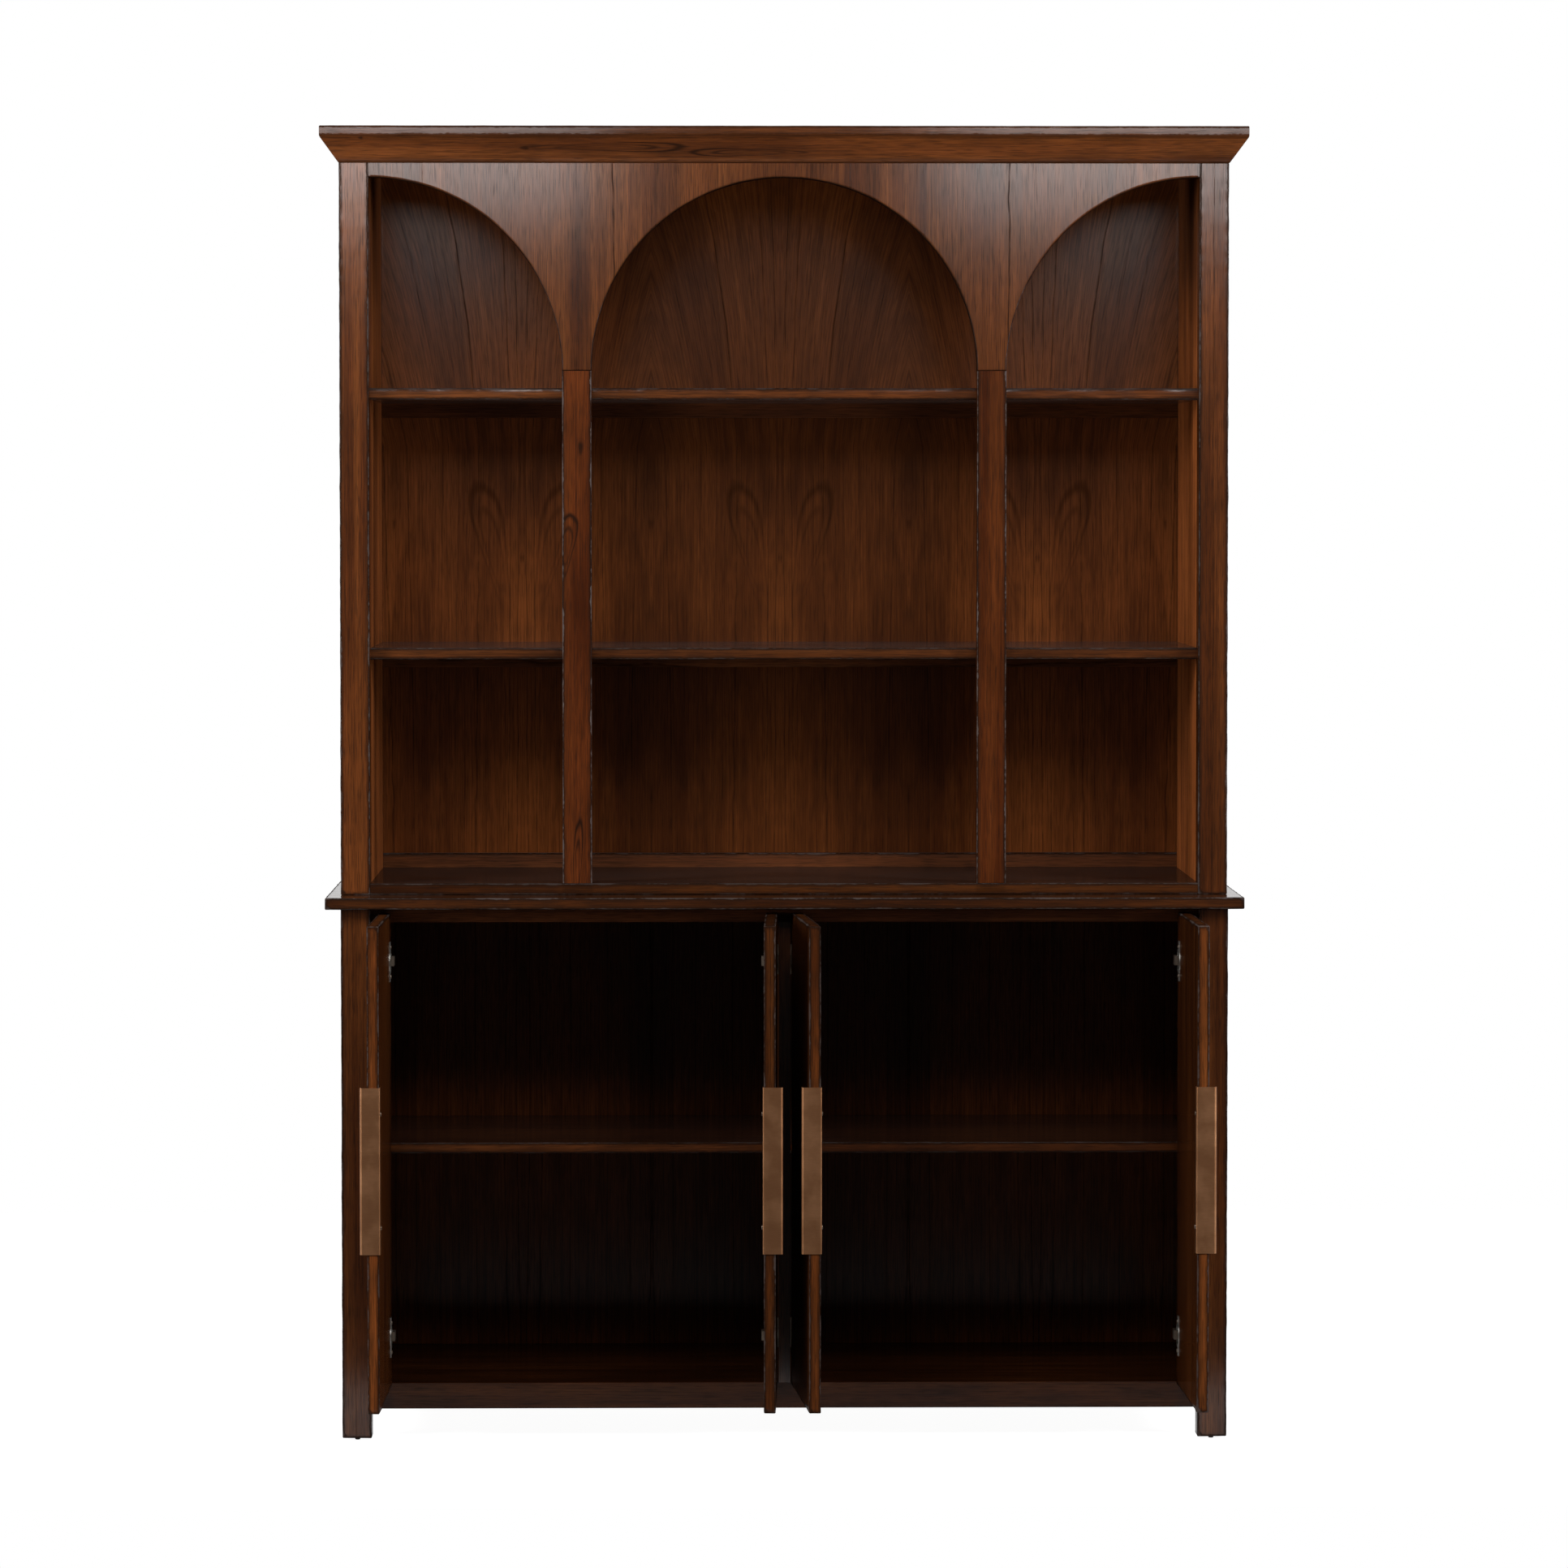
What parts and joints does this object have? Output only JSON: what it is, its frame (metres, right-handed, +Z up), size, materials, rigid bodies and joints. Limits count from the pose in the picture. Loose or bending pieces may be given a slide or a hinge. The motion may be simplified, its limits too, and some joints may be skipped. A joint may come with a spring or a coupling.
{
  "type": "hutch cabinet",
  "caption": "Tall walnut-stained hutch cabinet: open arched shelves with a bevelled cornice above a cupboard base on legs with hinged slab doors and bronze edge pulls.",
  "frame": {"origin": "at floor level, in the middle of the whole extent with the doors open as stored", "axes": "+Z up, -Y out of the cabinet's front, +X to the right seen from the front"},
  "size_m": [1.505, 0.8314, 2.134],
  "materials": {
    "frame_wood": "satin reddish walnut stain, worn edges",
    "panel_wood": "satin walnut veneer",
    "shelf_wood": "satin walnut stain",
    "door_wood": "satin walnut veneer, worn edges",
    "bronze": "aged bronze",
    "nickel": "nickel plated",
    "screw_steel": "zinc plated",
    "glide_nylon": "dark nylon",
    "dowel_wood": "bare beech"
  },
  "bodies": {
    "cabinet": {"crown_front": "frame_wood", "crown_right": "frame_wood", "crown_left": "frame_wood", "hutch_top_board": "shelf_wood", "hutch_right_front_post": "frame_wood", "hutch_right_back_post": "frame_wood", "hutch_right_side_panel": "panel_wood", "hutch_left_front_post": "frame_wood", "hutch_left_back_post": "frame_wood", "hutch_left_side_panel": "panel_wood", "hutch_back_panel": "panel_wood", "hutch_bottom_board": "shelf_wood", "lower_shelf": "shelf_wood", "lower_shelf_cleat": "shelf_wood", "upper_shelf": "shelf_wood", "upper_shelf_cleat": "shelf_wood", "hutch_bottom_cleat": "shelf_wood", "right_mullion": "frame_wood", "left_mullion": "frame_wood", "arch_panel": "frame_wood", "countertop": "shelf_wood", "right_front_leg": "frame_wood", "right_back_leg": "frame_wood", "base_right_side_panel": "panel_wood", "left_front_leg": "frame_wood", "left_back_leg": "frame_wood", "base_left_side_panel": "panel_wood", "base_back_panel": "panel_wood", "top_front_rail": "frame_wood", "top_back_rail": "frame_wood", "base_floor": "shelf_wood", "bottom_front_rail": "frame_wood", "bottom_back_rail": "frame_wood", "partition": "panel_wood", "right_shelf": "shelf_wood", "left_shelf": "shelf_wood", "frame_dowels": "dowel_wood", "shelf_pins": "nickel", "foot_glides": "glide_nylon", "hinge_arms": "nickel", "hinge_plates": "nickel", "hinge_pins": "nickel", "hinge_plate_screws": "screw_steel"},
    "left_outer_leaf": {"left_outer_door": "door_wood", "left_outer_pull": "bronze", "left_outer_hinge_cups": "nickel", "left_outer_screws": "screw_steel"},
    "left_inner_leaf": {"left_inner_door": "door_wood", "left_inner_pull": "bronze", "left_inner_hinge_cups": "nickel", "left_inner_screws": "screw_steel"},
    "right_inner_leaf": {"right_inner_door": "door_wood", "right_inner_pull": "bronze", "right_inner_hinge_cups": "nickel", "right_inner_screws": "screw_steel"},
    "right_outer_leaf": {"right_outer_door": "door_wood", "right_outer_pull": "bronze", "right_outer_hinge_cups": "nickel", "right_outer_screws": "screw_steel"}
  },
  "joints": [
    {"name": "left_outer_hinge", "type": "hinge", "parent": "cabinet", "child": "left_outer_leaf", "pos_m": [-0.64877, -0.10329, 0.47525], "axis": [0, 0, -1], "range_deg": [-90.7, 4.3]},
    {"name": "left_inner_hinge", "type": "hinge", "parent": "cabinet", "child": "left_inner_leaf", "pos_m": [-0.02322, -0.10329, 0.47525], "axis": [0, 0, 1], "range_deg": [-88.7, 1.3]},
    {"name": "right_inner_hinge", "type": "hinge", "parent": "cabinet", "child": "right_inner_leaf", "pos_m": [0.02322, -0.10329, 0.47525], "axis": [0, 0, -1], "range_deg": [-86.1, 3.9]},
    {"name": "right_outer_hinge", "type": "hinge", "parent": "cabinet", "child": "right_outer_leaf", "pos_m": [0.64877, -0.10329, 0.47525], "axis": [0, 0, 1], "range_deg": [-91.1, 3.9]}
  ]
}
